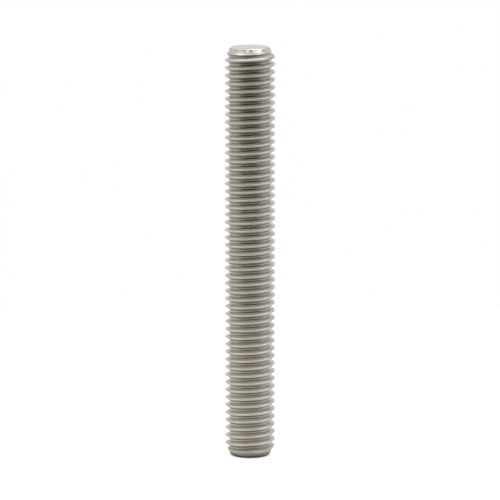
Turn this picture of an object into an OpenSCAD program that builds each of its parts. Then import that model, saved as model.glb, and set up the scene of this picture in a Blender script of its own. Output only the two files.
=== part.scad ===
// Threaded rod M10 x 80, right-hand coarse thread: one bar, chamfered at both ends.
// Its lower end face stands on the floor. +Z runs up the axis from that face's centre.
// The solid is the rod's outer form, over the thread crests. The thread's grooves are too
// fine for exact solids, but their depth sets how far the end chamfers cut in.

/* [Thread] */
// Major diameter, over the crests
major_d = 9.75; // [6:0.05:24]
// Pitch, the rise of one turn
pitch = 1.5; // [0.5:0.05:3]
// How far the crests fall short of a full thread, on the radius
crest_loss = 0.05; // [0:0.01:0.08]

/* [Rod] */
// Length, end face to end face
rod_l = 80; // [20:1:500]

/* [Ends] */
// How far below the thread's root a chamfer reaches at the end face, on the radius
point_drop = 0.3; // [0.1:0.05:0.6]
// Angle between a chamfer and the axis
chamfer_angle = 30; // [20:1:60]

/* [Hidden] */
// A full external metric thread is 17/24 as deep as the sharp 60 degree triangle on its pitch
thread_depth = 17 / 24 * pitch * cos(30) - crest_loss;
chamfer_depth = thread_depth + point_drop;
chamfer_h = chamfer_depth / tan(chamfer_angle);
major_r = major_d / 2;
point_r = major_r - chamfer_depth;
$fn = 96;

// One bar, turned about its axis: end face, chamfer, threaded length, chamfer, end face
module threaded_rod() {
    color([0.66, 0.65, 0.61])
        rotate_extrude()
            polygon([
                [0, 0],
                [point_r, 0],
                [major_r, chamfer_h],
                [major_r, rod_l - chamfer_h],
                [point_r, rod_l],
                [0, rod_l]
            ]);
}

threaded_rod();
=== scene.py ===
"""A thread-rolled stainless steel rod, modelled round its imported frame, and its plain studio."""

import math

import bmesh
import bpy
from bpy.props import FloatProperty, FloatVectorProperty, IntProperty, PointerProperty
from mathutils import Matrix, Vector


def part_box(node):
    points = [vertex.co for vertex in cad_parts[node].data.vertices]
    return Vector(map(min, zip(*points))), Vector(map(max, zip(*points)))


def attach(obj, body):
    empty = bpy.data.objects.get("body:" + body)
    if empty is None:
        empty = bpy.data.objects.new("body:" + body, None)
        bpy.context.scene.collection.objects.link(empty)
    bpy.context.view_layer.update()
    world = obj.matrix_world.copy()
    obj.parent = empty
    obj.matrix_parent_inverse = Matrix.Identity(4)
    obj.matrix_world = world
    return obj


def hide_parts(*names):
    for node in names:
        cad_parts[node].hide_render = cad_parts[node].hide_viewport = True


bl_info = {
    "name": "Threaded Rod",
    "version": (1, 0, 0),
    "blender": (4, 5, 0),
    "location": "3D View > Sidebar > Threaded Rod",
    "description": "Models a threaded rod with chamfered ends, and a plain studio",
    "category": "Add Mesh",
}

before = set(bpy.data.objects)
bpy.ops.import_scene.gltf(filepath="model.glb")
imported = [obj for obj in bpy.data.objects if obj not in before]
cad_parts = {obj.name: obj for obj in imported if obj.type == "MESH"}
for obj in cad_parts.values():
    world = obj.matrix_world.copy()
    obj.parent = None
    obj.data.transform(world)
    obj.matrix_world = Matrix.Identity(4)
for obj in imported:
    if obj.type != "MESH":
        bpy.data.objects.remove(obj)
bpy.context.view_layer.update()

MM = 0.001
# Places nearer to each other than this are one place
TOLERANCE = 0.001 * MM
NODE = "threaded_rod"
BODY = "root"


# Frame ------------------------------------------------------------------------------------------------


def frame_sizes():
    """The rod's length, radius, end face radius and chamfer length, read from the frame's node."""
    low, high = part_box(NODE)
    radius = min(-low.x, -low.y, high.x, high.y)
    points = [v.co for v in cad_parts[NODE].data.vertices]
    face = max(math.hypot(p.x, p.y) for p in points if p.z < low.z + TOLERANCE)
    # Only the cylinder's own corners lie this far out
    outermost = 0.99 * radius
    chamfer = min(p.z - low.z for p in points if math.hypot(p.x, p.y) > outermost)
    return {"length": high.z - low.z, "radius": radius, "face": face, "chamfer": chamfer}


ROD = frame_sizes()


# Settings ---------------------------------------------------------------------------------------------


def linear(code):
    """An sRGB hex colour as a linear colour with alpha."""
    parts = [int(code[i : i + 2], 16) / 255 for i in (1, 3, 5)]
    return [c / 12.92 if c <= 0.04045 else ((c + 0.055) / 1.055) ** 2.4 for c in parts] + [1.0]


def length(name, description, default):
    """A size in metres, shown in the scene's units."""
    return FloatProperty(name=name, description=description, default=default, unit="LENGTH", precision=5)


def colour(name, description, default):
    """A colour given as sRGB hex."""
    return FloatVectorProperty(
        name=name,
        description=description,
        default=linear(default),
        subtype="COLOR",
        size=4,
        min=0,
        max=1,
    )


class RodSizes(bpy.types.PropertyGroup):
    """Sizes of the thread and of the rod's ends."""

    pitch: length("Pitch", "Rise of one turn of the thread", 1.5 * MM)
    depth: length("Thread depth", "From the crest to the bottom of the root, on the radius", 0.87 * MM)
    crest: length("Crest width", "Width of the crest before its corners are rounded", 0.21 * MM)
    crest_round: length("Crest rounding", "How far the rounding runs from a crest's corner", 0.06 * MM)
    phase: length("Crest height", "Height of the lowest crest where it crosses the +X side", 0.182 * MM)
    edge_break: length("Edge break", "Width of the broken edge round an end face", 0.24 * MM)
    steps: IntProperty(
        name="Steps", description="Straight steps in one turn of the thread", default=128, min=24
    )


class RodColours(bpy.types.PropertyGroup):
    """Colours of the rod's finishes."""

    rolled: colour("Rolled thread", "Colour of the rolled thread", "#C3BFB7")
    crest: colour("Crests", "Colour of the thread's crests, which handling has burnished", "#D0CCC4")
    film: colour("Root film", "Colour of the film down in the roots", "#C1BAAD")
    turned: colour("Turned chamfer", "Colour of the turned chamfers", "#D6D4CF")
    faced: colour("Faced end", "Colour of the end faces", "#C8C7C3")
    # The dark colour of the real scratches and dull specks, also used for painted shade: the dashes past the
    # top edge and the darkened foot
    wear_and_painted_shade: colour("Rubbed edge", "Colour of the dull marks on the ends", "#66605D")


class StudioSettings(bpy.types.PropertyGroup):
    """The camera and the studio round the rod."""

    distance: length("Camera distance", "From the camera to the point it looks at", 740 * MM)
    elevation: FloatProperty(
        name="Camera elevation",
        description="How far above level the camera looks from",
        default=math.radians(9.71),
        subtype="ANGLE",
    )
    aim: length("Aim height", "Height of the point the camera looks at", 40.44 * MM)
    lens: FloatProperty(
        name="Lens", description="The camera's focal length, in mm on a 36 mm sensor", default=275.2
    )
    table: length("Table radius", "Radius of the white table the rod stands on", 165 * MM)
    softbox_width: length("Softbox width", "From side to side of the overhead softbox", 1.51)
    softbox_depth: length("Softbox depth", "From front to back of the overhead softbox", 1.02)
    softbox_height: length("Softbox height", "From the table up to the softbox", 0.8)
    softbox_front: length("Softbox position", "How far the softbox is in front of the rod", 0.086)
    softbox_level: FloatProperty(
        name="Softbox level", description="Brightness of the softbox, where white is 1", default=1.29
    )


# Modelling helpers ------------------------------------------------------------------------------------


def deselect():
    """Leaves nothing selected and no object in edit mode."""
    if bpy.context.object and bpy.context.object.mode != "OBJECT":
        bpy.ops.object.mode_set(mode="OBJECT")
    bpy.ops.object.select_all(action="DESELECT")


def pick(obj, kind, wanted):
    """Selects the vertices, edges or faces of obj, in edit mode, that wanted() says yes to."""
    bpy.ops.mesh.select_mode(type={"verts": "VERT", "edges": "EDGE", "faces": "FACE"}[kind])
    bpy.ops.mesh.select_all(action="DESELECT")
    mesh = bmesh.from_edit_mesh(obj.data)
    for part in getattr(mesh, kind):
        part.select = wanted(part)
    mesh.select_flush_mode()
    bmesh.update_edit_mesh(obj.data)


def apply_modifier(obj, kind, **settings):
    """Adds a modifier to obj with these settings and applies it."""
    modifier = obj.modifiers.new(kind.title(), kind)
    for name, value in settings.items():
        setattr(modifier, name, value)
    bpy.context.view_layer.objects.active = obj
    bpy.ops.object.modifier_apply(modifier=modifier.name)


# The rod ----------------------------------------------------------------------------------------------


def thread_outline(sizes, start):
    """One pitch of the thread's section as a line of edges, from the middle of one crest to the next."""
    flank_angle = math.radians(30)
    half_crest = sizes.crest / 2
    flank = (sizes.pitch - sizes.crest) / 2
    sharp_depth = flank / math.tan(flank_angle)
    # A small plane merged to one point starts the line
    deselect()
    bpy.ops.mesh.primitive_plane_add(size=0.1 * MM, location=(ROD["radius"], 0, start))
    outline = bpy.context.object
    bpy.ops.object.mode_set(mode="EDIT")
    bpy.ops.mesh.select_all(action="SELECT")
    bpy.ops.mesh.merge(type="CENTER")
    steps = ((0, 0, half_crest), (-sharp_depth, 0, flank), (sharp_depth, 0, flank), (0, 0, half_crest))
    for step in steps:
        bpy.ops.mesh.extrude_region_move(TRANSFORM_OT_translate={"value": step})
    # A bevel of five segments sets the point of a 60 degree V back by this share of its offset
    set_back = 0.507
    rounding = (sharp_depth - sizes.depth) / set_back
    deepest = 0.9 * sharp_depth
    pick(outline, "verts", lambda v: v.co.x < -deepest)
    bpy.ops.mesh.bevel(offset_type="OFFSET", offset=rounding, segments=5, affect="VERTICES")
    corners = (half_crest, sizes.pitch - half_crest)
    pick(outline, "verts", lambda v: min(abs(v.co.z - c) for c in corners) < TOLERANCE)
    bpy.ops.mesh.bevel(offset_type="OFFSET", offset=sizes.crest_round, segments=2, affect="VERTICES")
    bpy.ops.object.mode_set(mode="OBJECT")
    bpy.ops.object.transform_apply(location=True, rotation=True, scale=True)
    return outline


def helical_bar(sizes):
    """The thread's section screwed up the axis, right-hand, past both ends, as one closed solid."""
    spare_turns = 2
    bar = thread_outline(sizes, sizes.phase - spare_turns * sizes.pitch)
    apply_modifier(
        bar,
        "SCREW",
        axis="Z",
        angle=math.tau,
        steps=sizes.steps,
        render_steps=sizes.steps,
        iterations=math.ceil(ROD["length"] / sizes.pitch) + 2 * spare_turns - 1,
        screw_offset=sizes.pitch,
        use_merge_vertices=False,
        use_normal_calculate=False,
    )
    bpy.ops.object.mode_set(mode="EDIT")
    bpy.ops.mesh.select_all(action="SELECT")
    bpy.ops.mesh.remove_doubles(threshold=TOLERANCE)
    middle = ROD["length"] / 2
    for upper in (False, True):
        pick(bar, "edges", lambda e: e.is_boundary and (e.verts[0].co.z > middle) == upper)
        bpy.ops.mesh.extrude_edges_move()
        bpy.ops.mesh.merge(type="CENTER")
    bpy.ops.mesh.select_all(action="SELECT")
    bpy.ops.mesh.normals_make_consistent(inside=False)
    bpy.ops.object.mode_set(mode="OBJECT")
    return bar


def chamfered_blank(sizes):
    """A bar a little fatter than the thread, with the rod's length, chamfers and broken end edges."""
    spare = 0.3 * MM
    slope = (ROD["radius"] - ROD["face"]) / ROD["chamfer"]
    radius = ROD["radius"] + spare
    cone = (radius - ROD["face"]) / slope
    shrink = ROD["face"] / radius
    ends = {-1: 0, 1: ROD["length"]}
    deselect()
    bpy.ops.mesh.primitive_cylinder_add(
        vertices=sizes.steps,
        radius=radius,
        depth=ROD["length"] - 2 * cone,
        location=(0, 0, ROD["length"] / 2),
    )
    blank = bpy.context.object
    bpy.ops.object.transform_apply(location=True, rotation=True, scale=True)
    bpy.ops.object.mode_set(mode="EDIT")
    for side, end in ends.items():
        pick(blank, "faces", lambda f: f.normal.z * side > 0.9)
        bpy.ops.mesh.extrude_region_move(TRANSFORM_OT_translate={"value": (0, 0, side * cone)})
        bpy.ops.transform.resize(value=(shrink, shrink, 1), center_override=(0, 0, end))
    pick(
        blank,
        "edges",
        lambda e: min(max(abs(v.co.z - z) for v in e.verts) for z in ends.values()) < TOLERANCE,
    )
    bpy.ops.mesh.bevel(offset_type="WIDTH", offset=sizes.edge_break, segments=3, affect="EDGES")
    bpy.ops.object.mode_set(mode="OBJECT")
    return blank


def finish_of(face):
    """Which finish a face of the blank has: 1 is the turned chamfer and 2 the faced end."""
    level = abs(face.normal.z) > 0.99
    return 2 if level else 1


# Materials --------------------------------------------------------------------------------------------


# Inputs of a Mix node that blends colours
FACTOR, COLOUR_A, COLOUR_B = 0, 6, 7


def add_node(tree, kind, settings=None, links=None):
    """Adds a node to tree.

    settings sets the node's own values and its inputs. links joins its inputs to outputs of other nodes,
    or to other nodes, which give the first output that they use.
    """
    node = tree.nodes.new(kind)
    for name, value in (settings or {}).items():
        if isinstance(name, str) and hasattr(node, name):
            setattr(node, name, value)
        else:
            node.inputs[name].default_value = value
    for name, source in (links or {}).items():
        if isinstance(source, bpy.types.Node):
            source = next(output for output in source.outputs if output.enabled)
        tree.links.new(source, node.inputs[name])
    return node


def new_material(name):
    """An empty node material and its tree."""
    material = bpy.data.materials.new(name)
    material.use_nodes = True
    material.node_tree.nodes.clear()
    return material, material.node_tree


def place_on_rod(tree):
    """The place on the rod in mm: a node with the vector, one with its axes, one with its radius."""
    coordinates = add_node(tree, "ShaderNodeTexCoord")
    place = add_node(
        tree,
        "ShaderNodeVectorMath",
        {"operation": "SCALE", "Scale": 1 / MM},
        {0: coordinates.outputs["Object"]},
    )
    axes = add_node(tree, "ShaderNodeSeparateXYZ", links={"Vector": place})
    level = add_node(tree, "ShaderNodeVectorMath", {"operation": "MULTIPLY", 1: (1, 1, 0)}, {0: place})
    radius = add_node(tree, "ShaderNodeVectorMath", {"operation": "LENGTH"}, {0: level})
    return place, axes, radius


def foot_painted_shade(tree, axes):
    """How much painted shade darkens the lower end, standing in for the dark reflection of its shadow on the
    table: fully at the foot, and not at all past mid chamfer.
    """
    chamfer = ROD["chamfer"] / MM
    darkest = 0.15 * chamfer
    unshaded = 0.57 * chamfer
    return add_node(
        tree,
        "ShaderNodeMapRange",
        {"From Min": darkest, "From Max": unshaded, "To Min": 1.0, "To Max": 0.0},
        {"Value": axes.outputs["Z"]},
    )


def steel(tree, tone, dullness, surface):
    """Finishes a steel's tree: bare metal with this colour, roughness and surface."""
    metal = add_node(
        tree,
        "ShaderNodeBsdfPrincipled",
        {"Metallic": 1.0},
        {"Base Color": tone, "Roughness": dullness, "Normal": surface},
    )
    add_node(tree, "ShaderNodeOutputMaterial", links={"Surface": metal})


def rolled_stainless(sizes, colours):
    """Thread-rolled stainless steel.

    The dies press the thread and don't cut it, so it is smooth and softly bright, and smoothest in the
    roots. Faint lines run along it. Handling has burnished its crests brighter and knocked them here and
    there, and a thin film makes its roots warmer. The foot the rod stands on is darkened with painted
    shade, standing in for the dark reflection of its shadow on the table.
    """
    material, tree = new_material("rolled_stainless_steel")
    place, axes, radius = place_on_rod(tree)
    crest = ROD["radius"] / MM
    root = crest - sizes.depth / MM
    pitch = sizes.pitch / MM
    middle = ROD["length"] / MM / 2

    # How far along the thread's section a place is: its height less the helix's rise, folded to run up
    # and back down
    angle = add_node(
        tree,
        "ShaderNodeMath",
        {"operation": "ARCTAN2"},
        {0: axes.outputs["Y"], 1: axes.outputs["X"]},
    )
    section = add_node(
        tree,
        "ShaderNodeMath",
        {"operation": "MULTIPLY_ADD", 1: -pitch / math.tau},
        {0: angle, 2: axes.outputs["Z"]},
    )
    section = add_node(tree, "ShaderNodeMath", {"operation": "PINGPONG", 1: pitch / 2}, {0: section})

    # Lines from the dies, about 0.05 mm apart on the rod and drawn coarser to show
    line_spacing = 0.2
    section = add_node(tree, "ShaderNodeCombineXYZ", links={"Z": section})
    along = add_node(
        tree,
        "ShaderNodeVectorMath",
        {"operation": "MULTIPLY_ADD", 1: (0.05, 0.05, 0.01)},
        {0: place, 2: section},
    )
    lines = add_node(
        tree,
        "ShaderNodeTexNoise",
        {"noise_dimensions": "4D", "Scale": 1 / line_spacing, "Detail": 3.0, "Roughness": 0.6},
        {"Vector": along, "W": radius},
    )

    # Handling reaches the outer tenth of a millimetre of the crests
    handled_from = crest - 0.12
    handled_most = crest - 0.02
    outer = add_node(
        tree, "ShaderNodeMapRange", {"From Min": handled_from, "From Max": handled_most}, {"Value": radius}
    )

    # Knocks in the crests, about a millimetre long
    knocks = add_node(tree, "ShaderNodeTexNoise", {"Scale": 0.9, "Detail": 2.0}, {"Vector": place})
    knocks = add_node(
        tree,
        "ShaderNodeMapRange",
        {"From Min": 0.4, "From Max": 0.65, "To Min": 0.5, "To Max": 1.0},
        {"Value": knocks},
    )
    knocks = add_node(tree, "ShaderNodeMath", {"operation": "MULTIPLY"}, {0: knocks, 1: outer})

    # The film thins out from the root up the flank, and comes and goes along the rod
    film_reach = 0.5
    film = add_node(
        tree,
        "ShaderNodeMapRange",
        {"From Min": root, "From Max": root + film_reach, "To Min": 0.3, "To Max": 0.0},
        {"Value": radius},
    )
    patches = add_node(tree, "ShaderNodeTexNoise", {"Scale": 0.25, "Detail": 3.0}, {"Vector": place})
    film = add_node(
        tree, "ShaderNodeMath", {"operation": "MULTIPLY_ADD", 1: 0.2}, {0: patches, 2: film}
    )
    tone = add_node(
        tree,
        "ShaderNodeMix",
        {"data_type": "RGBA", COLOUR_A: colours.rolled, COLOUR_B: colours.film},
        {FACTOR: film},
    )
    tone = add_node(
        tree,
        "ShaderNodeMix",
        {"data_type": "RGBA", COLOUR_B: colours.crest},
        {FACTOR: outer, COLOUR_A: tone},
    )
    # Painted shade: the foot is darkened, standing in for the dark reflection of its shadow on the table
    tone = add_node(
        tree,
        "ShaderNodeMix",
        {"data_type": "RGBA", COLOUR_B: colours.wear_and_painted_shade},
        {FACTOR: foot_painted_shade(tree, axes), COLOUR_A: tone},
    )

    # The roots are smoother than the rest, and the first turn at each end is duller, where the dies run in
    smooth_reach = 0.3
    dull_from = middle - 2.4
    dullest = middle - 1.6
    dullness = add_node(
        tree,
        "ShaderNodeMapRange",
        {"From Min": 0.3, "From Max": 0.7, "To Min": 0.26, "To Max": 0.4},
        {"Value": lines},
    )
    smooth_root = add_node(
        tree,
        "ShaderNodeMapRange",
        {"From Min": root, "From Max": root + smooth_reach, "To Min": -0.12, "To Max": 0.0},
        {"Value": radius},
    )
    from_middle = add_node(
        tree, "ShaderNodeMath", {"operation": "SUBTRACT", 1: middle}, {0: axes.outputs["Z"]}
    )
    from_middle = add_node(tree, "ShaderNodeMath", {"operation": "ABSOLUTE"}, {0: from_middle})
    dull_end = add_node(
        tree,
        "ShaderNodeMapRange",
        {"From Min": dull_from, "From Max": dullest, "To Min": 0.0, "To Max": 0.25},
        {"Value": from_middle},
    )
    for change in (smooth_root, dull_end):
        dullness = add_node(tree, "ShaderNodeMath", {"operation": "ADD"}, {0: dullness, 1: change})

    height = add_node(
        tree, "ShaderNodeMath", {"operation": "MULTIPLY_ADD", 1: -0.3}, {0: knocks, 2: lines}
    )
    surface = add_node(
        tree, "ShaderNodeBump", {"Strength": 0.6, "Distance": 0.012 * MM}, {"Height": height}
    )
    steel(tree, tone, dullness, surface)
    return material


def turned_stainless(colours):
    """Turned stainless steel.

    The tool leaves fine rings round each chamfer, and handling has left slanting scratches across them.
    Short dark dashes, a painted dark reflection of the room on the rim, lie just past the end face's edge.
    The foot the rod stands on is darkened with painted shade, standing in for the dark reflection of its
    shadow on the table.
    """
    material, tree = new_material("turned_stainless_steel")
    place, axes, radius = place_on_rod(tree)
    face = ROD["face"] / MM
    chamfer = ROD["chamfer"] / MM

    # Tool marks, about 0.1 mm apart on the rod and drawn coarser to show
    ring_spacing = 0.25
    rings = add_node(
        tree,
        "ShaderNodeTexNoise",
        {"noise_dimensions": "1D", "Scale": 1 / ring_spacing, "Detail": 2.0, "Roughness": 0.7},
        {"W": axes.outputs["Z"]},
    )

    # Scratches: thin layers tipped a little from level, cut off where the pattern is low
    tip = math.radians(14)
    scratches = add_node(
        tree,
        "ShaderNodeMapping",
        {"Rotation": (0, tip, 0), "Scale": (0.25, 0.25, 3.0)},
        {"Vector": place},
    )
    scratches = add_node(
        tree, "ShaderNodeTexNoise", {"Scale": 1.0, "Detail": 3.0}, {"Vector": scratches}
    )
    scratches = add_node(
        tree, "ShaderNodeMapRange", {"From Min": 0.46, "From Max": 0.64}, {"Value": scratches}
    )

    # Painted reflection: dark dashes on the chamfer, just past the broken edge, standing in for the rim's
    # dark reflection of the room, and which of the pattern's layers they come from
    dash_radius = face + 0.22
    half_dash = 0.1
    dash_layer = 4.0
    edge = add_node(
        tree, "ShaderNodeMath", {"operation": "COMPARE", 1: dash_radius, 2: half_dash}, {0: radius}
    )
    dashes = add_node(
        tree,
        "ShaderNodeTexNoise",
        {"noise_dimensions": "4D", "W": dash_layer, "Scale": 0.6, "Detail": 1.0},
        {"Vector": place},
    )
    dashes = add_node(
        tree,
        "ShaderNodeMapRange",
        {"From Min": 0.49, "From Max": 0.57, "To Max": 0.65},
        {"Value": dashes},
    )
    dashes = add_node(tree, "ShaderNodeMath", {"operation": "MULTIPLY"}, {0: edge, 1: dashes})

    # The lower chamfer is scratched the most
    wear = add_node(
        tree,
        "ShaderNodeMapRange",
        {"From Min": chamfer, "From Max": 2 * chamfer, "To Min": 0.55, "To Max": 0.4},
        {"Value": axes.outputs["Z"]},
    )
    # Painted shade at the foot, standing in for the dark reflection of its shadow on the table
    foot = foot_painted_shade(tree, axes)
    # The painted dashes and the painted shade at the foot, then the real scratches, darken the chamfer
    # towards the dark colour
    marks = add_node(tree, "ShaderNodeMath", {"operation": "MAXIMUM"}, {0: dashes, 1: foot})
    marks = add_node(
        tree,
        "ShaderNodeMath",
        {"operation": "MULTIPLY_ADD", "use_clamp": True},
        {0: scratches, 1: wear, 2: marks},
    )
    tone = add_node(
        tree,
        "ShaderNodeMix",
        {"data_type": "RGBA", COLOUR_A: colours.turned, COLOUR_B: colours.wear_and_painted_shade},
        {FACTOR: marks},
    )
    dullness = add_node(
        tree,
        "ShaderNodeMapRange",
        {"From Min": 0.3, "From Max": 0.7, "To Min": 0.24, "To Max": 0.4},
        {"Value": rings},
    )
    height = add_node(
        tree, "ShaderNodeMath", {"operation": "MULTIPLY_ADD", 1: -1.0}, {0: scratches, 2: rings}
    )
    surface = add_node(
        tree, "ShaderNodeBump", {"Strength": 0.7, "Distance": 0.03 * MM}, {"Height": height}
    )
    steel(tree, tone, dullness, surface)
    return material


def faced_stainless(colours):
    """Faced stainless steel.

    The facing cut leaves rings round the axis, which give the flat end a satin look, with a few dull
    specks.
    """
    material, tree = new_material("faced_stainless_steel")
    place, _, radius = place_on_rod(tree)

    # Facing rings, about 0.1 mm apart on the rod and drawn coarser to show
    ring_spacing = 0.3
    rings = add_node(
        tree,
        "ShaderNodeTexNoise",
        {"noise_dimensions": "1D", "Scale": 1 / ring_spacing, "Detail": 3.0, "Roughness": 0.6},
        {"W": radius},
    )
    # Specks, a few tenths of a millimetre across
    specks = add_node(
        tree, "ShaderNodeTexNoise", {"Scale": 1.6, "Detail": 4.0, "Roughness": 0.7}, {"Vector": place}
    )
    clear = add_node(
        tree, "ShaderNodeMapRange", {"From Min": 0.33, "From Max": 0.43}, {"Value": specks}
    )
    tone = add_node(
        tree,
        "ShaderNodeMix",
        {"data_type": "RGBA", COLOUR_A: colours.wear_and_painted_shade, COLOUR_B: colours.faced},
        {FACTOR: clear},
    )
    dullness = add_node(
        tree,
        "ShaderNodeMapRange",
        {"From Min": 0.3, "From Max": 0.7, "To Min": 0.28, "To Max": 0.42},
        {"Value": specks},
    )
    surface = add_node(
        tree, "ShaderNodeBump", {"Strength": 0.5, "Distance": 0.02 * MM}, {"Height": rings}
    )
    steel(tree, tone, dullness, surface)
    return material


def table_paint():
    """Matt white paint, whose glow lifts it to white for the camera and to pale in the steel.

    The glow is seen and lights nothing, so what stands on the table keeps a faint shadow.
    """
    lift_seen = 0.6
    lift_mirrored = 0.25
    material, tree = new_material("white_table_paint")
    paint = add_node(tree, "ShaderNodeBsdfDiffuse", {"Color": (0.71, 0.71, 0.71, 1)})
    rays = add_node(tree, "ShaderNodeLightPath")
    seen = add_node(
        tree,
        "ShaderNodeMath",
        {"operation": "MAXIMUM"},
        {0: rays.outputs["Is Camera Ray"], 1: rays.outputs["Is Transmission Ray"]},
    )
    mirrored = add_node(
        tree,
        "ShaderNodeMath",
        {"operation": "MULTIPLY", 1: lift_mirrored},
        {0: rays.outputs["Is Glossy Ray"]},
    )
    lift = add_node(
        tree, "ShaderNodeMath", {"operation": "MULTIPLY_ADD", 1: lift_seen}, {0: seen, 2: mirrored}
    )
    glow = add_node(tree, "ShaderNodeEmission", links={"Strength": lift})
    both = add_node(tree, "ShaderNodeAddShader", links={0: paint, 1: glow})
    add_node(tree, "ShaderNodeOutputMaterial", links={"Surface": both})
    return material


# The studio -------------------------------------------------------------------------------------------


# The room's colours from the front, behind the camera, round to the back: place and colour
ROOM_COLOURS = ((0.11, "#30260F"), (0.41, "#DCDCDC"), (1.0, "#E1E1E1"))


def room_world():
    """A room that is dark brown behind the camera, pale at the sides and back, on a white background."""
    world = bpy.data.worlds.new("studio_room")
    world.use_nodes = True
    tree = world.node_tree
    tree.nodes.clear()
    direction = add_node(tree, "ShaderNodeTexCoord")
    axes = add_node(tree, "ShaderNodeSeparateXYZ", links={"Vector": direction.outputs["Generated"]})
    depth = axes.outputs["Y"]
    walls = add_node(tree, "ShaderNodeMapRange", {"From Min": -1.0, "From Max": 1.0}, {"Value": depth})
    walls = add_node(tree, "ShaderNodeValToRGB", links={"Fac": walls})
    ramp = walls.color_ramp
    while len(ramp.elements) < len(ROOM_COLOURS):
        ramp.elements.new(0.5)
    for element, (place, wall) in zip(ramp.elements, ROOM_COLOURS):
        element.position = place
        element.color = linear(wall)

    # The white background, which the camera sees all round and the steel sees behind it
    rays = add_node(tree, "ShaderNodeLightPath")
    behind = add_node(tree, "ShaderNodeMapRange", {"From Min": 0.7, "From Max": 0.9}, {"Value": depth})
    white = add_node(
        tree, "ShaderNodeMath", {"operation": "MULTIPLY"}, {0: rays.outputs["Is Glossy Ray"], 1: behind}
    )
    for ray in ("Is Camera Ray", "Is Transmission Ray"):
        white = add_node(
            tree, "ShaderNodeMath", {"operation": "MAXIMUM"}, {0: white, 1: rays.outputs[ray]}
        )
    seen = add_node(
        tree,
        "ShaderNodeMix",
        {"data_type": "RGBA", COLOUR_B: (1, 1, 1, 1)},
        {FACTOR: white, COLOUR_A: walls},
    )
    light = add_node(tree, "ShaderNodeBackground", links={"Color": seen})
    add_node(tree, "ShaderNodeOutputWorld", links={"Surface": light})
    return world


def place_softbox(studio):
    """Hangs the softbox level over the rod, reaching farther to the front than to the back."""
    place = (0, -studio.softbox_front, studio.softbox_height)
    bpy.ops.object.light_add(type="AREA", location=place)
    softbox = bpy.context.object
    softbox.name = "softbox"
    softbox.data.shape = "RECTANGLE"
    softbox.data.size = studio.softbox_width
    softbox.data.size_y = studio.softbox_depth
    # A lamp's power is its brightness times pi times its area
    area = studio.softbox_width * studio.softbox_depth
    softbox.data.energy = studio.softbox_level * math.pi * area


def place_camera(studio):
    """Points a long lens at the rod from the front and a little above."""
    level = studio.distance * math.cos(studio.elevation)
    height = studio.aim + studio.distance * math.sin(studio.elevation)
    tilt = math.pi / 2 - studio.elevation
    bpy.ops.object.camera_add(location=(0, -level, height), rotation=(tilt, 0, 0))
    camera = bpy.context.object
    camera.name = "camera"
    camera.data.lens = studio.lens
    camera.data.clip_start = 10 * MM
    bpy.context.scene.camera = camera


# Operators and panel ----------------------------------------------------------------------------------


class ROD_OT_threaded_rod(bpy.types.Operator):
    """Models the threaded rod as one closed mesh"""

    bl_idname = "rod.threaded_rod"
    bl_label = "Threaded Rod"

    def execute(self, context):
        sizes = context.scene.rod_sizes
        colours = context.scene.rod_colours
        rod = helical_bar(sizes)
        blank = chamfered_blank(sizes)
        rolled = rolled_stainless(sizes, colours)
        rod.data.materials.append(rolled)
        for material in (rolled, turned_stainless(colours), faced_stainless(colours)):
            blank.data.materials.append(material)
        for face in blank.data.polygons:
            face.material_index = finish_of(face)
        deselect()
        apply_modifier(
            rod, "BOOLEAN", operation="INTERSECT", solver="EXACT", object=blank, material_mode="TRANSFER"
        )
        bpy.data.objects.remove(blank)
        rod.select_set(True)
        bpy.ops.object.shade_smooth_by_angle(angle=math.radians(32))
        rod.name = "rolled_rod"
        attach(rod, BODY)
        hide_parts(NODE)
        return {"FINISHED"}


class ROD_OT_studio(bpy.types.Operator):
    """Sets up the white table, the room, the softbox and the camera"""

    bl_idname = "rod.studio"
    bl_label = "Studio"

    def execute(self, context):
        studio = context.scene.studio
        deselect()
        bpy.ops.mesh.primitive_circle_add(vertices=128, radius=studio.table, fill_type="NGON")
        table = context.object
        table.name = "table"
        table.data.materials.append(table_paint())
        context.scene.world = room_world()
        place_softbox(studio)
        place_camera(studio)
        context.scene.view_settings.view_transform = "Standard"
        return {"FINISHED"}


class ROD_PT_panel(bpy.types.Panel):
    """Lists the rod's settings and what makes it"""

    bl_idname = "ROD_PT_panel"
    bl_label = "Threaded Rod"
    bl_space_type = "VIEW_3D"
    bl_region_type = "UI"
    bl_category = "Threaded Rod"

    def draw(self, context):
        for group in GROUPS:
            box = self.layout.box()
            settings = getattr(context.scene, group)
            for name in settings.__annotations__:
                box.prop(settings, name)
        for operator in OPERATORS:
            self.layout.operator(operator.bl_idname)


GROUPS = {"rod_sizes": RodSizes, "rod_colours": RodColours, "studio": StudioSettings}
OPERATORS = (ROD_OT_threaded_rod, ROD_OT_studio)
CLASSES = (*GROUPS.values(), *OPERATORS, ROD_PT_panel)


def register():
    for cls in CLASSES:
        bpy.utils.register_class(cls)
    for name, group in GROUPS.items():
        setattr(bpy.types.Scene, name, PointerProperty(type=group))


def unregister():
    for name in GROUPS:
        delattr(bpy.types.Scene, name)
    for cls in reversed(CLASSES):
        bpy.utils.unregister_class(cls)


def main():
    """Makes the rod and the studio."""
    register()
    bpy.ops.rod.threaded_rod()
    bpy.ops.rod.studio()


if __name__ == "__main__":
    main()
